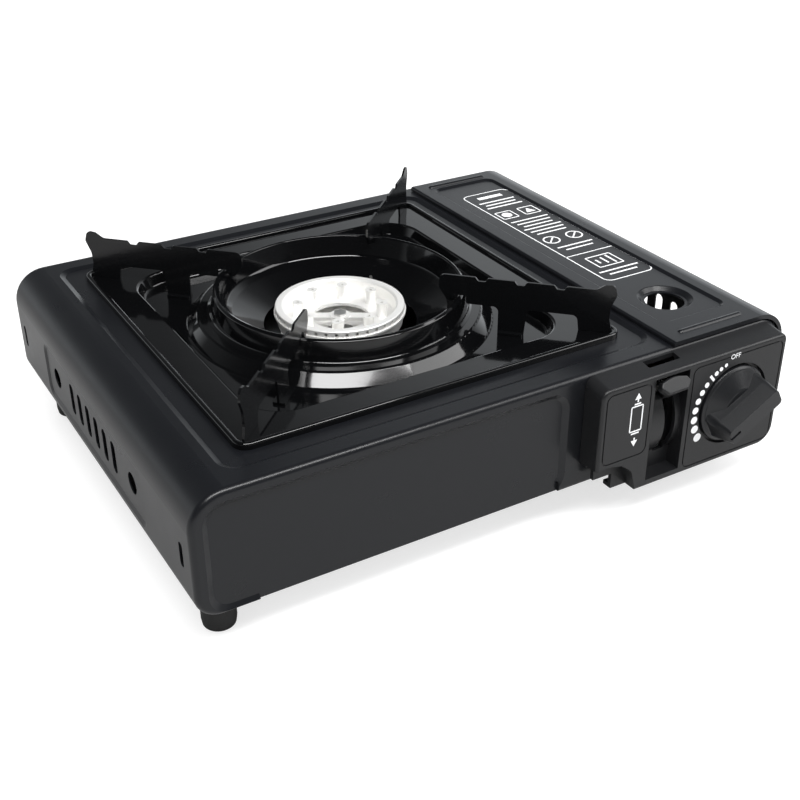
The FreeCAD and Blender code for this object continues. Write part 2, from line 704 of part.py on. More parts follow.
def make_drip_pan():
    bead_low = field_z + rest_gap
    bead = square_ring(pan_half, pan_corner_r, pan_half - bead_width, pan_corner_r - bead_width,
                       bead_low, bead_top_z)
    top_edges = [e for e in bead.Edges if abs(e.BoundBox.ZMin - bead_top_z) < 1e-6]
    bead = bead.makeFillet(1.2, top_edges)
    border = square_ring(pan_half - bead_width + 0.2, pan_corner_r - bead_width + 0.2, 60, 20,
                         border_z - pan_sheet, border_z)
    recess = recess_loft(pan_sheet)
    inside = recess_loft(0.0)
    lid_of_inside = plan_prism(rounded(-recess_half, -recess_half, recess_half, recess_half,
                                       recess_corner_r), border_z, border_z + 1)
    inside = inside.fuse(lid_of_inside.translated(V(pan_x, 0, 0)))
    ring_hole = rod(V(pan_x, 0, floor_z - 5), V(pan_x, 0, border_z + 5), ring_end_r - 0.4)
    sheet_part = border.fuse(recess).cut(inside)
    recess_rim = [e for e in sheet_part.Edges if e.BoundBox.ZMin > border_z - 0.01
                  and e.BoundBox.YMax - e.BoundBox.YMin < 2 * recess_half
                  and max(abs(e.BoundBox.XMin - pan_x), abs(e.BoundBox.XMax - pan_x),
                          abs(e.BoundBox.YMin), abs(e.BoundBox.YMax)) < recess_half + 0.1]
    sheet_part = sheet_part.makeFillet(recess_top_r, recess_rim).cut(ring_hole)
    line = [(pan_hole_r, 76.0), (58.0, 84.6, 3), (61.4, 87.2, 3), (64.9, 98.2, 0.6),
            (collar_r, collar_z, 0.6), (67.4, 97.6, 0.8), (69.4, 87.4, 1.4), (71.2, 86.2, 1.0),
            (76.2, 86.0, 2.2), (ring_end_r - 1.8, floor_z, 1.8), (ring_end_r, floor_z)]
    collar = turned(strip_corners(line, -pan_sheet), pan_x)
    return joined([bead, sheet_part, collar])


def make_pan_support():
    """One support in its own frame: x is the distance from the pan's axis, z is up."""
    leg_low = floor_z + rest_gap
    foot_low = border_z + rest_gap
    web = support_web_z
    top = support_top_z
    rim_low, rim_high = collar_r - 3.4, collar_r + 3.2
    outline = [(support_nose_r, 102), (59.5, 95.2, 3), (rim_low, 95.2, 0.8),
               (rim_low, collar_z + rest_gap + 0.1, 0.8), (rim_high, collar_z + rest_gap + 0.1, 0.8),
               (rim_high, web, 1.2), (86.6, web, 3), (86.6, leg_low), (100.4, leg_low),
               (101.6, web, 3), (horn_r - 19.6, web, 3), (horn_r - 18.5, foot_low),
               (horn_r - 1.2, foot_low), (horn_r - 3.2, 94, 6), (horn_r - 2.8, 101, 4),
               (horn_r, 107.6, 3), (horn_r - 1.6, horn_tip_z, 2.6),
               (horn_r - 6.4, horn_tip_z - 0.6, 2.2), (horn_r - 10.7, top, 4)]
    notch_step = (horn_r - support_nose_r) / 4.5
    for i in (3, 2, 1):
        mid = support_nose_r + notch_step * (i + 0.1)
        outline += [(mid + 3.4, top, 0.8), (mid + 1.8, top - 2.1, 0.8), (mid - 1.8, top - 2.1, 0.8),
                    (mid - 3.4, top, 0.8)]
    outline += [(support_nose_r, top, 3.2)]
    blade = front_prism(outline, -support_sheet / 2, support_sheet / 2)
    foot = plan_prism(rounded(86.9, -3.4, 100.1, 3.4, 1.2), leg_low, leg_low + 1.2)
    rivet = rod(V(62.4, -1.4, 98.2), V(62.4, 1.4, 98.2), 1.3)
    return joined([blade, foot, rivet])


def lid_form(inset):
    body = front_prism(
        rounded(lid_x0 + inset, 60, lid_right_x - inset, lid_top_z - inset,
                (1, 1, lid_shoulder_r - inset, 1.2 - inset)), lid_y0 + inset, lid_y1 - inset)
    field = sunk_field(lid_field_x0, lid_field_y0, lid_field_x1, lid_field_y1, 4.0,
                       lid_field_drop, lid_field_slope, inset)
    return body.cut(field.translated(V(0, 0, lid_top_z)))


def make_lid():
    skirt_z = hinge_z + 1.8
    gap = 0.3
    under = front_prism(
        rounded(left_x - gap, 0, case_right_x + gap, deck_z + gap, (1, 1, right_shoulder_r + gap,
                                                                 shoulder_r + gap)),
        -half_depth - 5, half_depth + 5)
    shell = lid_form(0.0).cut([lid_form(sheet), under,
                               box(80, 180, -half_depth - 5, half_depth + 5, 50, skirt_z)])
    field_top = lid_top_z - lid_field_drop
    mouth = rod(V(lid_hole_x, lid_hole_y, field_top - 3), V(lid_hole_x, lid_hole_y, field_top + 3),
                lid_dish_r - 0.4)
    dish = turned(strip_corners([(lid_hole_r, field_top - 2.2), (lid_hole_r + 1.6, field_top - 2.2, 0.8),
                                 (lid_dish_r - 0.6, field_top, 1), (lid_dish_r + 0.6, field_top)],
                                -sheet), lid_hole_x, lid_hole_y)
    ribs = []
    for y in (lid_y0 + 8, lid_y1 - 7.4):
        ends = [V(x, y, lid_top_z - 1.2) for x in (lid_field_x0, lid_field_x1 - 2)]
        bead = joined([rod(ends[0], ends[1], lid_rib_r)]
                      + [Part.makeSphere(lid_rib_r, end) for end in ends])
        ribs.append(bead.common(box(90, 160, y - 4, y + 4, lid_top_z - 0.4, lid_top_z + 3)))
    barrels = []
    for y0, y1 in hinge_segments(1):
        barrels.append(rod(V(hinge_x, y0, hinge_z), V(hinge_x, y1, hinge_z), hinge_barrel_r))
        barrels.append(box(lid_right_x - sheet - 0.2, lid_right_x - 0.1, y0, y1, hinge_z, skirt_z + 0.4))
    bore = rod(V(hinge_x, bay_y0, hinge_z), V(hinge_x, bay_y1, hinge_z), hinge_pin_r + run_gap)
    return joined([shell.cut(mouth), dish] + ribs + barrels).cut(bore)


def panel_block(inset, back_y):
    """The control panel's outer block, with its front, top and sides moved inward by inset."""
    wires = []
    for y, top in ((back_y, panel_z1 + 2.2), (panel_front_y + inset, panel_z1)):
        radii = (6 - inset, 10 - inset, 4 - inset, 5 - inset)
        wire = corner_wire(rounded(panel_x0 + inset, panel_z0 + inset, panel_x1 - inset,
                                   top - inset, radii))
        wires.append(upright(wire).translated(V(0, y, 0)))
    return Part.makeLoft(wires, True, True)


def make_control_panel():
    outer = panel_block(0.0, panel_back_y)
    edges = [e for e in outer.Edges
             if e.BoundBox.YMax < panel_front_y + 0.01 and e.Length > 1]
    outer = outer.makeFillet(1.6, edges)
    w = panel_wall
    channel_block = box(channel_x0 - w, channel_x1 + w, panel_front_y - 1, channel_back_y + w,
                        panel_z0, panel_z1 + 5)
    well_block = rod(V(knob_x, panel_front_y - 1, knob_z),
                     V(knob_x, panel_front_y + well_depth + w, knob_z), well_r + w)
    notch_front = [(panel_x0 - 5, panel_z0 - 4), (panel_x0 - 5, notch_top_z - 2),
                   (42, notch_top_z, 5), (52, notch_top_z - 2, 5), (59, 31, 6), (64, panel_z0 - 4)]
    notch_block = front_prism([(panel_x0 - 5, panel_z0 - 4), (panel_x0 - 5, notch_top_z + w),
                               (54, notch_top_z + w), (61, 34), (67, panel_z0 - 4)],
                              panel_front_y - 1, panel_front_y + 8 + w)
    cavity = panel_block(w, panel_back_y + 1).cut([channel_block, well_block, notch_block])
    panel = outer.cut(cavity)
    cuts = [box(channel_x0, channel_x1, panel_front_y - 1, channel_back_y, panel_z0 + 4,
                panel_z1 - w),
            box(channel_x0, channel_x1, panel_front_y - 1, panel_back_y + 1, 66, panel_z1 - w),
            box(channel_x0 + 1, channel_x1 - 1, panel_front_y + 7, panel_back_y - 1.2,
                panel_z1 - 6, deck_z + 1),
            front_prism(notch_front, panel_front_y - 1, panel_front_y + 8),
            box(panel_x0 - 1, panel_x0 + 5, panel_front_y - 1, panel_back_y + 1,
                panel_z0 - 1, notch_top_z - 2),
            box(panel_x0 - 1, panel_x0 + 17, panel_front_y - 1, panel_back_y + 1,
                panel_z0 - 1, panel_z0 + 9),
            rod(V(knob_x, panel_front_y - 1, knob_z), V(knob_x, panel_front_y + well_depth, knob_z),
                well_r),
            rod(V(knob_x, panel_front_y, knob_z), V(knob_x, panel_back_y + 1, knob_z),
                spindle_r + 1)]
    for x0, x1, z0, z1 in ((channel_x1 + 2.6, panel_x1 - 2.6, panel_z0 + 2.6, panel_z1 - 2.6),
                           (panel_x0 + 2.6, channel_x0 - 2.2, notch_top_z + 1.4, panel_z1 - 2.6)):
        w = groove_width
        ring = front_prism(rounded(x0, z0, x1, z1, 4), panel_front_y - 1, panel_front_y + groove_depth)
        core = front_prism(rounded(x0 + w, z0 + w, x1 - w, z1 - w, 4 - w),
                           panel_front_y - 2, panel_front_y + groove_depth + 1)
        cuts.append(ring.cut(core))
    panel = panel.cut(cuts)
    guide = turned_x([(channel_x0 - 0.5, guide_r - guide_wall), (channel_x0 - 0.5, guide_r),
                      (channel_x1 + 0.5, guide_r), (channel_x1 + 0.5, guide_r - guide_wall)],
                     lever_y, lever_z)
    guide = guide.common(box(channel_x0 - 2, channel_x1 + 2, panel_front_y, channel_back_y + w,
                             lever_z - 22, 66))
    slot = box(guide_slot_x0, guide_slot_x1, panel_front_y - 2, panel_back_y + 2, 31.2, 70)
    return joined([panel, guide]).cut(slot)


def make_lever_bracket():
    ears = [box(x, x + 1.2, lever_y - 6, lever_y + 6, plate_top_z, 56) for x in (75.6, 88.6)]
    base = box(75.6, 89.8, lever_y - 6, lever_y + 6, plate_top_z, plate_top_z + 1.2)
    bore = rod(V(70, lever_y, lever_z), V(95, lever_y, lever_z), lever_pin_r + run_gap)
    return joined(ears + [base]).cut(bore)


def make_lever_shaft():
    return joined([rod(V(73.5, lever_y, lever_z), V(94, lever_y, lever_z), lever_pin_r),
                   rod(V(72.5, lever_y, lever_z), V(74.6, lever_y, lever_z), lever_pin_r + 1.4)])


def lever_turned(shape):
    """Turn a piece drawn with its arm level and pointing forward up to the rest angle."""
    return shape.rotated(V(0, lever_y, lever_z), V(1, 0, 0), -lever_rest_angle)


def lever_bar():
    return box(arm_x0, arm_x1, lever_y - arm_reach, lever_y, lever_z - arm_half, lever_z + arm_half)


def make_lever_arm():
    hub = rod(V(77.4, lever_y, lever_z), V(88.0, lever_y, lever_z), lever_hub_r)
    bore = rod(V(70, lever_y, lever_z), V(95, lever_y, lever_z), lever_pin_r)
    return lever_turned(joined([hub, lever_bar()])).cut(bore)


def make_lever_crank():
    disc = rod(V(91, lever_y, lever_z), V(94, lever_y, lever_z), 7.4)
    angle = math.radians(lever_travel / 2)
    y = lever_y + crank_r * math.sin(angle)
    z = lever_z + crank_r * math.cos(angle)
    pin = rod(V(93, y, z), V(98.4, y, z), crank_pin_r)
    return joined([disc, pin]).cut(rod(V(90, lever_y, lever_z), V(94, lever_y, lever_z), lever_pin_r))


def make_lever_cap():
    """Thumb pad on the arm's end, with a neck that tapers down to the drum guide."""
    pad_back, pad_front = lever_y - thumb_r + thumb_sheet, lever_y - thumb_r
    x0, x1 = channel_x0 + 0.8, channel_x1 - 2.0
    middle = (x0 + x1) / 2
    face = corner_face([(x0 + 3.2, -3.8, 1), (x1 - 3.2, -3.8, 1), (x1, -0.2, 1.6), (x1 - 1.4, 2.9, 2),
                        (middle, 4.8, 18), (x0 + 1.4, 2.9, 2), (x0, -0.2, 1.6)])
    pad = upright(face.extrude(V(0, 0, pad_back - pad_front))).translated(V(0, pad_back, lever_z))
    rim = [e for e in pad.Edges if e.BoundBox.YMax < pad_front + 0.01]
    pad = pad.makeFillet(1.0, rim)
    wires = []
    for left, right, low, high, y in ((middle - 4, x1 - 1, -3.6, 3.0, pad_back - 0.4),
                                      (arm_x0 - 2, arm_x1 + 2, -4.4, 4.4, lever_y - guide_r - 0.6)):
        wire = corner_wire(rounded(left, low, right, high, 1.4))
        wires.append(upright(wire).translated(V(0, y, lever_z)))
    neck = Part.makeLoft(wires, True, True)
    return lever_turned(joined([pad, neck]).cut(lever_bar()))


def make_knob():
    seat = panel_front_y - 1.4
    skirt = turned_y([(0, seat), (knob_r - 1.2, seat, 0.8), (knob_r, seat + 1, 0.5),
                      (knob_r, seat + 3.9), (0, seat + 3.9)], knob_x, knob_z)
    dome = turned_y([(0, seat - 5.1), (11, seat - 5.1, 3), (20.2, seat + 0.2), (20.2, seat + 0.8),
                     (0, seat + 0.8)], knob_x, knob_z)
    wires = []
    for half_length, half_width, y in ((19.0, 9.6, seat + 0.4), (18.4, 7.4, seat - 7.6),
                                       (17.4, 4.8, knob_face_y)):
        wire = corner_wire(rounded(-half_length, -half_width, half_length, half_width,
                                   half_width * 0.45))
        wires.append(upright(wire).translated(V(0, y, 0)))
    grip = Part.makeLoft(wires, True, True)
    mark = box(11, 18.5, knob_face_y - 1, knob_face_y + 1, -0.8, 0.8)
    grip = grip.cut(mark).rotated(V(0, 0, 0), V(0, 1, 0), -knob_turn).translated(V(knob_x, 0, knob_z))
    stem = rod(V(knob_x, seat + 3.8, knob_z), V(knob_x, panel_back_y - 3.7, knob_z), spindle_r + 0.7)
    bore = rod(V(knob_x, seat - 2.6, knob_z), V(knob_x, panel_back_y, knob_z), spindle_r)
    return joined([skirt, dome, grip, stem]).cut(bore)


def make_spindle():
    return rod(V(knob_x, panel_front_y - 4, knob_z), V(knob_x, regulator_y - 14, knob_z), spindle_r)


def make_hinge_pin():
    return rod(V(hinge_x, bay_y0 + 2, hinge_z), V(hinge_x, bay_y1 - 2, hinge_z), hinge_pin_r)


def main():
    save("casing", make_casing())
    save("bottom_plate", make_bottom_plate())
    for name, (x, y) in foot_places().items():
        save(name, make_foot(x, y))
    save("partition", make_partition())
    save("cartridge_cradle", make_cradle())
    save("slide_channel", make_slide_channel())
    save("pusher_slide", make_pusher_slide())
    save("valve_plate", make_valve_plate())
    save("regulator_body", make_regulator_body())
    save("regulator_cover", make_regulator_cover())
    save("gas_pipe", make_gas_pipe())
    save("nozzle", make_nozzle())
    save("nozzle_bracket", make_nozzle_bracket())
    save("mixing_tube", make_mixing_tube())
    save("burner_bracket", make_burner_bracket())
    save("burner_base", make_burner_base())
    save("burner_head", make_burner_head())
    save("burner_screw", make_burner_screw())
    save("electrode", make_electrode())
    save("insulator", make_insulator())
    save("igniter_bracket", make_igniter_bracket())
    save("igniter_lead", make_igniter_lead())
    save("spark_unit", make_spark_unit())
    save("drip_pan", make_drip_pan())
    support = make_pan_support()
    corners = {"front_right": -45, "rear_right": 45, "rear_left": 135, "front_left": -135}
    for name, angle in corners.items():
        placed = support.rotated(V(0, 0, 0), V(0, 0, 1), angle).translated(V(pan_x, 0, 0))
        save("pan_support_" + name, placed)
    save("lid", make_lid())
    save("lid_hinge_pin", make_hinge_pin())
    save("control_panel", make_control_panel())
    save("lever_bracket", make_lever_bracket())
    save("lever_shaft", make_lever_shaft())
    save("lever_arm", make_lever_arm())
    save("lever_crank", make_lever_crank())
    save("lever_cap", make_lever_cap())
    save("knob", make_knob())
    save("knob_spindle", make_spindle())


main()
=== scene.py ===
"""Looks of the cassette stove: camera, light, floor, materials and printed marks.
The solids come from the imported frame. Sizes of the print and the camera's place are named in
millimetres, picture positions in pixels, and the studio in metres. point() turns mm to metres."""
import json
import math
import bpy
from mathutils import Matrix, Vector


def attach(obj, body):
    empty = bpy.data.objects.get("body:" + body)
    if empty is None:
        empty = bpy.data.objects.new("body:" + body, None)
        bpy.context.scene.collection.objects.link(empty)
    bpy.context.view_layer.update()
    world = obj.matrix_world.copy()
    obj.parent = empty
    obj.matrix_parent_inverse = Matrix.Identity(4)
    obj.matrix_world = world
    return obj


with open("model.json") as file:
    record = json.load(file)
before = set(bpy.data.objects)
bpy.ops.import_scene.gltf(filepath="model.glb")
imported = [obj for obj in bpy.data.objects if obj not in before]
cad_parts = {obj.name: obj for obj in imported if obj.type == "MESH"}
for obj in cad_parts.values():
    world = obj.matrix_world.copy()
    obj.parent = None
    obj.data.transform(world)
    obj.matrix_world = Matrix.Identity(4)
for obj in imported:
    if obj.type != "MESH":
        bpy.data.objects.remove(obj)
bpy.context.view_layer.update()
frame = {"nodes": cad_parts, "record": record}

MM = 0.001

# Camera, as worked out from the photograph
camera_at = (-300.45, -511.42, 372.86)
camera_yaw = 0.53524
camera_pitch = -0.52505
camera_roll = -0.00188
focal_px = 1214.95
centre_px = (403.70, 393.12)
picture_px = 800
sensor_width = 36.0

# Surfaces that carry print
panel_face_y = -130.5
lid_field_z = 87.6
lid_middle_y = 15.5
print_height = 0.08
print_sink = 0.02

# Dial around the knob, angles in degrees
knob_x, knob_z = 124.3, 51.2
dial_radius = 26.3
small_dots = 3
small_dot_angle, small_dot_step = 109.2, 7.4
small_dot_r, small_dot_growth = 1.05, 0.14
dial_bar_angle = 131.2
dial_bar_length, dial_bar_width = 4.4, 1.5
large_dots = 7
large_dot_angle, large_dot_step, step_growth = 140.7, 10.0, 0.75
large_dot_r, large_dot_growth = 1.5, 0.16
word_size = 3.9
word_dx, word_dz = -2.6, 27.3

# Cartridge outline and arrows on the lever plate
outline_x = 58.4
outline_low, outline_high = 54.8, 69.8
outline_half, outline_corner, outline_line = 3.9, 0.5, 0.7
end_bar_gap, end_bar_width = 1.0, 0.8
top_bar_length, foot_bar_length = 4.0, 5.0
up_arrow_z, down_arrow_z = 74.6, 48.4
arrow_half, arrow_foot, arrow_tip = 2.0, 1.2, 2.2
stem_width, stem_length = 0.8, 1.6

# Label on the lid: u is x, v runs to the rear from the lid's middle
label_u0, label_u1 = 111.2, 145.8
label_low, label_split, label_high = -55.5, -17.0, 94.5
label_middle = (label_u0 + label_u1) / 2
label_width = label_u1 - label_u0
label_corner, label_line = 5.0, 0.7
heading_v, heading_length, heading_width = 86.5, 18.0, 3.6
lead_line_width, line_width = 1.4, 1.2
line_step, last_line_step = 4.6, 4.4
sign_spread = 8.4
sign_v, sign_half, sign_corner, sign_line = 55.0, 6.0, 1.5, 0.8
sign_shape_r, triangle_foot = 3.4, 2.9
ring_v, ring_r, ring_line, ring_bar = 8.4, 5.4, 0.9, 9.2
frame_v, frame_half_u, frame_half_v, frame_corner = -31.0, 9.0, 7.5, 1.0
column_step, column_short, column_growth = 4.6, 5.0, 3.0

# Studio
floor_reach = 6.0
floor_drop = 0.0002
floor_grey = 0.42
floor_lift = 0.66
soft_strength = 0.88
pure_white = (1.0, 1.0, 1.0, 1.0)
cool_white = (0.93, 0.97, 1.0, 1.0)


def point(x, y, z):
    return Vector((x, y, z)) * MM


def tree(owner):
    return owner.node_tree.nodes, owner.node_tree.links


def add(nodes, kind, **values):
    """A node of that kind with some of its inputs set by name."""
    node = nodes.new(kind)
    for name, value in values.items():
        node.inputs[name.replace("_", " ")].default_value = value
    return node


def object_noise(nodes, links, scale, detail):
    """Noise in the object's own coordinates."""
    place = nodes.new("ShaderNodeTexCoord")
    noise = add(nodes, "ShaderNodeTexNoise", Scale=scale, Detail=detail)
    links.new(place.outputs["Object"], noise.inputs["Vector"])
    return noise.outputs["Fac"]


def noise_bump(material, scale, strength, distance, detail=2.0):
    """Fine surface relief."""
    nodes, links = tree(material)
    bump = add(nodes, "ShaderNodeBump", Strength=strength, Distance=distance)
    links.new(object_noise(nodes, links, scale, detail), bump.inputs["Height"])
    links.new(bump.outputs["Normal"], nodes["Principled BSDF"].inputs["Normal"])


def noise_roughness(material, scale, low, high):
    """Roughness that wanders between two values, as handling and coating leave it."""
    nodes, links = tree(material)
    spread = add(nodes, "ShaderNodeMapRange", To_Min=low, To_Max=high)
    links.new(object_noise(nodes, links, scale, 4.0), spread.inputs["Value"])
    links.new(spread.outputs["Result"], nodes["Principled BSDF"].inputs["Roughness"])


def surface(name, color, roughness, metallic=0.0, coat=0.0, coat_roughness=0.05, specular=0.5):
    material = bpy.data.materials.new(name)
    material.use_nodes = True
    shader = material.node_tree.nodes["Principled BSDF"]
    shader.inputs["Base Color"].default_value = (*color, 1.0)
    shader.inputs["Roughness"].default_value = roughness
    shader.inputs["Metallic"].default_value = metallic
    shader.inputs["Coat Weight"].default_value = coat
    shader.inputs["Coat Roughness"].default_value = coat_roughness
    shader.inputs["Specular IOR Level"].default_value = specular
    return material


def casing_paint():
    material = surface("casing_paint", (0.0062, 0.0068, 0.0084), 0.30, specular=0.42)
    noise_roughness(material, 38.0, low=0.24, high=0.34)
    noise_bump(material, 900.0, strength=0.05, distance=0.0004)
    return material


def enamel():
    material = surface("enamel", (0.0022, 0.0023, 0.0026), 0.09, coat=0.3, coat_roughness=0.03)
    noise_bump(material, 60.0, strength=0.04, distance=0.001)
    return material


def support_coat():
    material = surface("support_coat", (0.0032, 0.0034, 0.0038), 0.16)
    noise_bump(material, 500.0, strength=0.05, distance=0.0005)
    return material


def burner_silver():
    material = surface("burner_silver", (0.95, 0.945, 0.925), 0.36, metallic=0.62)
    noise_roughness(material, 300.0, low=0.36, high=0.50)
    return material


def sheet_steel(name, color, roughness):
    material = surface(name, color, roughness, metallic=1.0)
    noise_roughness(material, 120.0, low=roughness - 0.08, high=roughness + 0.10)
    return material


def grained_plastic(name, color, roughness, grain):
    material = surface(name, color, roughness)
    noise_bump(material, grain, strength=0.12, distance=0.0004, detail=3.0)
    return material


materials = {
    "casing_paint": casing_paint(),
    "enamel": enamel(),
    "support_coat": support_coat(),
    "burner_silver": burner_silver(),
    "inner_steel": sheet_steel("inner_steel", (0.60, 0.61, 0.62), 0.30),
    "zinc": sheet_steel("zinc", (0.55, 0.55, 0.54), 0.36),
    "brass": sheet_steel("brass", (0.72, 0.52, 0.22), 0.30),
    "panel_plastic": grained_plastic("panel_plastic", (0.0070, 0.0073, 0.0082), 0.40, 1400.0),
    "knob_plastic": grained_plastic("knob_plastic", (0.0075, 0.0080, 0.0092), 0.34, 1100.0),
    "white_glaze": surface("white_glaze", (0.80, 0.80, 0.77), 0.15),
    "rubber": grained_plastic("rubber", (0.011, 0.011, 0.011), 0.62, 700.0),
    "lead_sleeve": surface("lead_sleeve", (0.30, 0.015, 0.010), 0.35),
}
print_white = surface("print_white", (0.82, 0.83, 0.84), 0.45)


def dress_nodes():
    """Give each CAD node the look of its material slot."""
    for part in frame["record"]["subparts"]:
        node = frame["nodes"][part["node"]]
        for slot in node.material_slots:
            slot.material = materials[part["material_slot"]]


def flat_shapes(name, outlines, place):
    """One mesh of flat raised shapes: each outline is a list of (u, v), place maps (u, v, h)."""
    verts, faces = [], []
    for outline in outlines:
        start = len(verts)
        count = len(outline)
        for height in (-print_sink, print_height):
            verts += [place(u, v, height) for u, v in outline]
        faces.append(tuple(range(start + count, start + 2 * count)))
        for i in range(count):
            j = (i + 1) % count
            faces.append((start + i, start + j, start + count + j, start + count + i))
    mesh = bpy.data.meshes.new(name)
    mesh.from_pydata(verts, [], faces)
    mesh.materials.append(print_white)
    mesh.validate()
    piece = bpy.data.objects.new(name, mesh)
    bpy.context.scene.collection.objects.link(piece)
    return piece


def on_panel(u, v, h):
    return point(u, panel_face_y - h, v)


def on_lid(u, v, h):
    return point(u, v + lid_middle_y, lid_field_z + h)


def disc(u, v, radius, steps=24):
    turn = 2 * math.pi / steps
    return [(u + radius * math.cos(turn * i), v + radius * math.sin(turn * i)) for i in range(steps)]


def bar(u, v, length, width, degrees=0.0):
    """Rectangle about (u, v), its length turned by degrees from the u axis."""
    c, s = math.cos(math.radians(degrees)), math.sin(math.radians(degrees))
    corners = ((-1, -1), (1, -1), (1, 1), (-1, 1))
    return [(u + a * length / 2 * c - b * width / 2 * s, v + a * length / 2 * s + b * width / 2 * c)
            for a, b in corners]


def band(path, width):
    """Quads that follow a closed path of (u, v) points, for a line of that width."""
    count = len(path)
    inner = []
    for i in range(count):
        before, here, after = path[i - 1], path[i], path[(i + 1) % count]
        du, dv = after[0] - before[0], after[1] - before[1]
        size = math.hypot(du, dv)
        inner.append((here[0] - dv / size * width, here[1] + du / size * width))
    return [[path[i], path[(i + 1) % count], inner[(i + 1) % count], inner[i]] for i in range(count)]


def rounded_path(u0, v0, u1, v1, radius, steps=5):
    """Closed rectangle path with rounded corners, counter-clockwise."""
    centres = ((u1 - radius, v0 + radius), (u1 - radius, v1 - radius),
               (u0 + radius, v1 - radius), (u0 + radius, v0 + radius))
    path = []
    for corner, (u, v) in enumerate(centres):
        for i in range(steps + 1):
            a = math.radians(-90 + 90 * corner + 90 * i / steps)
            path.append((u + radius * math.cos(a), v + radius * math.sin(a)))
    return path


def on_dial(degrees):
    """Place on the dial's circle."""
    a = math.radians(degrees)
    return knob_x + dial_radius * math.cos(a), knob_z + dial_radius * math.sin(a)


def dial_marks():
    """Three small dots, a bar and seven dots that grow and spread."""
    shapes = []
    for i in range(small_dots):
        shapes.append(disc(*on_dial(small_dot_angle + small_dot_step * i),
                           small_dot_r + small_dot_growth * i))
    shapes.append(bar(*on_dial(dial_bar_angle), dial_bar_length, dial_bar_width, dial_bar_angle))
    angle, step = large_dot_angle, large_dot_step
    for i in range(large_dots):
        shapes.append(disc(*on_dial(angle), large_dot_r + large_dot_growth * i))
        angle += step
        step += step_growth
    marks = flat_shapes("dial_dots", shapes, on_panel)
    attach(marks, "stove")


def dial_word():
    """The switch word at the dial's end stop."""
    curve = bpy.data.curves.new("dial_off", "FONT")
    curve.body = "OFF"
    curve.size = word_size * MM
    curve.align_x = "CENTER"
    curve.extrude = print_height * MM / 2
    curve.materials.append(print_white)
    word = bpy.data.objects.new("dial_off", curve)
    bpy.context.scene.collection.objects.link(word)
    word.matrix_world = (Matrix.Translation(on_panel(knob_x + word_dx, knob_z + word_dz, 0))
                         @ Matrix.Rotation(math.radians(90), 4, "X"))
    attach(word, "stove")


def arrow(u, v, way):
    """Arrow head with a short stem, way is 1 for up and -1 for down."""
    head = [(u - arrow_half, v - arrow_foot * way), (u + arrow_half, v - arrow_foot * way),
            (u, v + arrow_tip * way)]
    if way < 0:
        head.reverse()
    return [head, bar(u, v - (arrow_foot + stem_length / 2) * way, stem_width, stem_length)]


def lever_plate_marks():
    """Plain cartridge outline between an up and a down arrow."""
    u = outline_x
    path = rounded_path(u - outline_half, outline_low, u + outline_half, outline_high,
                        outline_corner, steps=1)
    shapes = band(path, outline_line)
    shapes.append(bar(u, outline_high + end_bar_gap, top_bar_length, end_bar_width))
    shapes.append(bar(u, outline_low - end_bar_gap, foot_bar_length, end_bar_width))
    shapes += arrow(u, up_arrow_z, 1) + arrow(u, down_arrow_z, -1)
    marks = flat_shapes("lever_plate_marks", shapes, on_panel)
    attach(marks, "stove")


def label_lines(first_v, step, margins, width):
    """Bars across the label, each one step below the last and shorter than it by its margin."""
    return [bar(label_middle, first_v - step * i, label_width - margin, width)
            for i, margin in enumerate(margins)]


def label_signs():
    """Two small framed signs, one with a disc and one with a triangle."""
    shapes = []
    left, right = label_middle - sign_spread, label_middle + sign_spread
    for u in (left, right):
        path = rounded_path(u - sign_half, sign_v - sign_half, u + sign_half, sign_v + sign_half,
                            sign_corner)
        shapes += band(path, sign_line)
    shapes.append(disc(left, sign_v, sign_shape_r))
    foot_v = sign_v - triangle_foot
    shapes.append([(right - sign_shape_r, foot_v), (right + sign_shape_r, foot_v),
                   (right, sign_v + sign_shape_r)])
    return shapes


def label_rings():
    """Two rings, each crossed by a slanting bar."""
    shapes = []
    for side in (-1, 1):
        u = label_middle + side * sign_spread
        shapes += band(disc(u, ring_v, ring_r), ring_line)
        shapes.append(bar(u, ring_v, ring_bar, ring_line, 45))
    return shapes


def label_frame():
    """A frame that holds three growing columns."""
    path = rounded_path(label_middle - frame_half_u, frame_v - frame_half_v,
                        label_middle + frame_half_u, frame_v + frame_half_v, frame_corner)
    shapes = band(path, sign_line)
    for i in range(3):
        shapes.append(bar(label_middle + column_step * (i - 1), frame_v, line_width,
                          column_short + column_growth * i))
    return shapes


def lid_label():
    """Generic label: a rounded outline that holds bars and plain shapes."""
    shapes = band(rounded_path(label_u0, label_low, label_u1, label_high, label_corner), label_line)
    shapes.append(bar(label_middle, label_split, label_width, label_line))
    shapes.append(bar(label_middle, heading_v, heading_length, heading_width))
    shapes += label_lines(78.5, line_step, (8, 12, 8), lead_line_width)
    shapes += label_signs()
    shapes += label_lines(42.6, line_step, (7, 10, 13, 7, 10, 13), line_width)
    shapes += label_rings()
    shapes += label_lines(-3.4, line_step, (9, 15), line_width)
    shapes += label_frame()
    shapes += label_lines(-43.8, last_line_step, (7, 15), line_width)
    marks = flat_shapes("lid_label", shapes, on_lid)
    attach(marks, "lid")


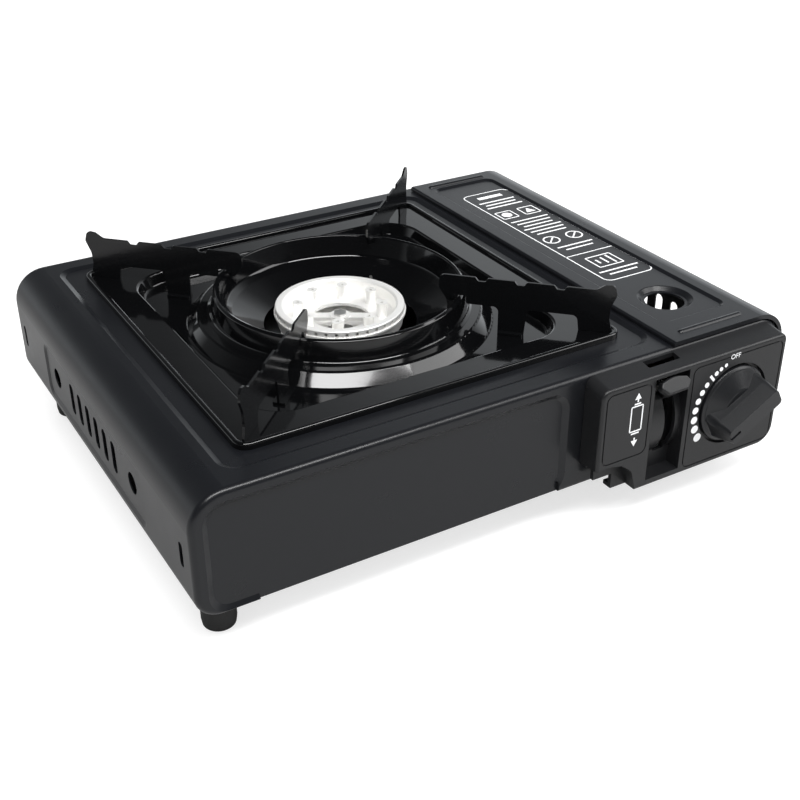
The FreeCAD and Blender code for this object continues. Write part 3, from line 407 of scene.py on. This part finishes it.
def put_camera():
    data = bpy.data.cameras.new("camera")
    data.sensor_width = sensor_width
    data.lens = focal_px * sensor_width / picture_px
    data.shift_x = (picture_px / 2 - centre_px[0]) / picture_px
    data.shift_y = (centre_px[1] - picture_px / 2) / picture_px
    camera = bpy.data.objects.new("camera", data)
    bpy.context.scene.collection.objects.link(camera)
    forward = Vector((math.sin(camera_yaw) * math.cos(camera_pitch),
                      math.cos(camera_yaw) * math.cos(camera_pitch), math.sin(camera_pitch)))
    right = Vector((math.cos(camera_yaw), -math.sin(camera_yaw), 0.0))
    up = right.cross(forward)
    look = Matrix((right, up, -forward)).transposed().to_4x4()
    camera.matrix_world = (Matrix.Translation(point(*camera_at)) @ look
                           @ Matrix.Rotation(camera_roll, 4, "Z"))
    bpy.context.scene.camera = camera


def floor_material():
    """Pale matt white that is lifted for the camera alone."""
    material = surface("floor_white", (floor_grey,) * 3, 0.7, specular=0.1)
    nodes, links = tree(material)
    path = nodes.new("ShaderNodeLightPath")
    lift = nodes.new("ShaderNodeMath")
    lift.operation = "MULTIPLY"
    lift.inputs[1].default_value = floor_lift
    shader = nodes["Principled BSDF"]
    shader.inputs["Emission Color"].default_value = pure_white
    links.new(path.outputs["Is Camera Ray"], lift.inputs[0])
    links.new(lift.outputs["Value"], shader.inputs["Emission Strength"])
    return material


def white_floor():
    """Level floor that the camera sees as white and that keeps the soft shadow."""
    mesh = bpy.data.meshes.new("floor")
    corners = [(-floor_reach, -floor_reach, 0), (floor_reach, -floor_reach, 0),
               (floor_reach, floor_reach, 0), (-floor_reach, floor_reach, 0)]
    mesh.from_pydata(corners, [], [(0, 1, 2, 3)])
    mesh.materials.append(floor_material())
    floor = bpy.data.objects.new("floor", mesh)
    floor.location.z = -floor_drop
    bpy.context.scene.collection.objects.link(floor)


def grey_ramp(nodes, links, value, steps):
    """Grey that follows the value through (position, level) steps; the first is at 0."""
    node = nodes.new("ShaderNodeValToRGB")
    ramp = node.color_ramp
    ramp.elements.remove(ramp.elements[1])
    ramp.elements[0].color = (steps[0][1],) * 3 + (1.0,)
    for position, level in steps[1:]:
        ramp.elements.new(position).color = (level, level, level, 1.0)
    links.new(value, node.inputs["Fac"])
    return node.outputs["Color"]


def signed_ramp(nodes, links, value, steps):
    """Grey ramp over a value that runs from -1 to 1."""
    half = add(nodes, "ShaderNodeMapRange", From_Min=-1.0)
    links.new(value, half.inputs["Value"])
    return grey_ramp(nodes, links, half.outputs["Result"], steps)


def calculated(nodes, links, operation, *values):
    node = nodes.new("ShaderNodeMath")
    node.operation = operation
    for i, value in enumerate(values):
        links.new(value, node.inputs[i])
    return node.outputs["Value"]


def reflected_level(nodes, links):
    """Brightness of the surround in reflections, dark above, on the left and on the near side."""
    way = nodes.new("ShaderNodeTexCoord")
    axes = nodes.new("ShaderNodeSeparateXYZ")
    links.new(way.outputs["Generated"], axes.inputs["Vector"])
    height = axes.outputs["Z"]
    by_height = grey_ramp(nodes, links, height, ((0.0, 1.0), (0.45, 0.85), (0.62, 0.22), (0.80, 0.05)))
    by_side = signed_ramp(nodes, links, axes.outputs["X"], ((0.0, 0.14), (0.64, 0.12), (0.76, 0.85)))
    low_glow = grey_ramp(nodes, links, height, ((0.0, 0.80), (0.18, 0.50), (0.30, 0.0)))
    far_side = signed_ramp(nodes, links, axes.outputs["Y"], ((0.0, 0.06), (0.50, 0.10), (0.66, 1.0)))
    both = calculated(nodes, links, "MULTIPLY_ADD", by_height, by_side, low_glow)
    return calculated(nodes, links, "MULTIPLY", both, far_side)


def by_ray(nodes, links, is_ray, usual, special):
    """The special shader for rays of one kind, and the usual one for all others."""
    mix = nodes.new("ShaderNodeMixShader")
    links.new(is_ray, mix.inputs["Fac"])
    links.new(usual, mix.inputs[1])
    links.new(special, mix.inputs[2])
    return mix.outputs["Shader"]


def studio_world():
    """White for the camera, soft and even for diffuse light, and shaped in reflections."""
    world = bpy.data.worlds.new("studio")
    world.use_nodes = True
    bpy.context.scene.world = world
    nodes, links = tree(world)
    soft = nodes["Background"]
    soft.inputs["Color"].default_value = pure_white
    soft.inputs["Strength"].default_value = soft_strength
    plain = add(nodes, "ShaderNodeBackground", Color=pure_white, Strength=1.0)
    shaped = add(nodes, "ShaderNodeBackground", Color=cool_white)
    links.new(reflected_level(nodes, links), shaped.inputs["Strength"])
    path = nodes.new("ShaderNodeLightPath")
    lit = by_ray(nodes, links, path.outputs["Is Glossy Ray"],
                 soft.outputs["Background"], shaped.outputs["Background"])
    seen = by_ray(nodes, links, path.outputs["Is Camera Ray"], lit, plain.outputs["Background"])
    links.new(seen, nodes["World Output"].inputs["Surface"])


def area_light(name, at, target, size, power):
    """Soft box of (width, height) metres that faces the target, with its power in watts."""
    data = bpy.data.lights.new(name, "AREA")
    data.shape = "RECTANGLE"
    data.size, data.size_y = size
    data.energy = power
    light = bpy.data.objects.new(name, data)
    light.location = at
    light.rotation_euler = (Vector(target) - Vector(at)).to_track_quat("-Z", "Y").to_euler()
    bpy.context.scene.collection.objects.link(light)


dress_nodes()
dial_marks()
dial_word()
lever_plate_marks()
lid_label()
put_camera()
white_floor()
studio_world()
area_light("key", at=(1.05, -0.62, 0.85), target=(0, 0, 0.05), size=(0.9, 0.9), power=9.0)
area_light("strip", at=(-0.10, -0.70, 1.35), target=(-0.03, 0, 0.08), size=(1.5, 0.34), power=24.0)
bpy.context.scene.view_settings.view_transform = "Standard"
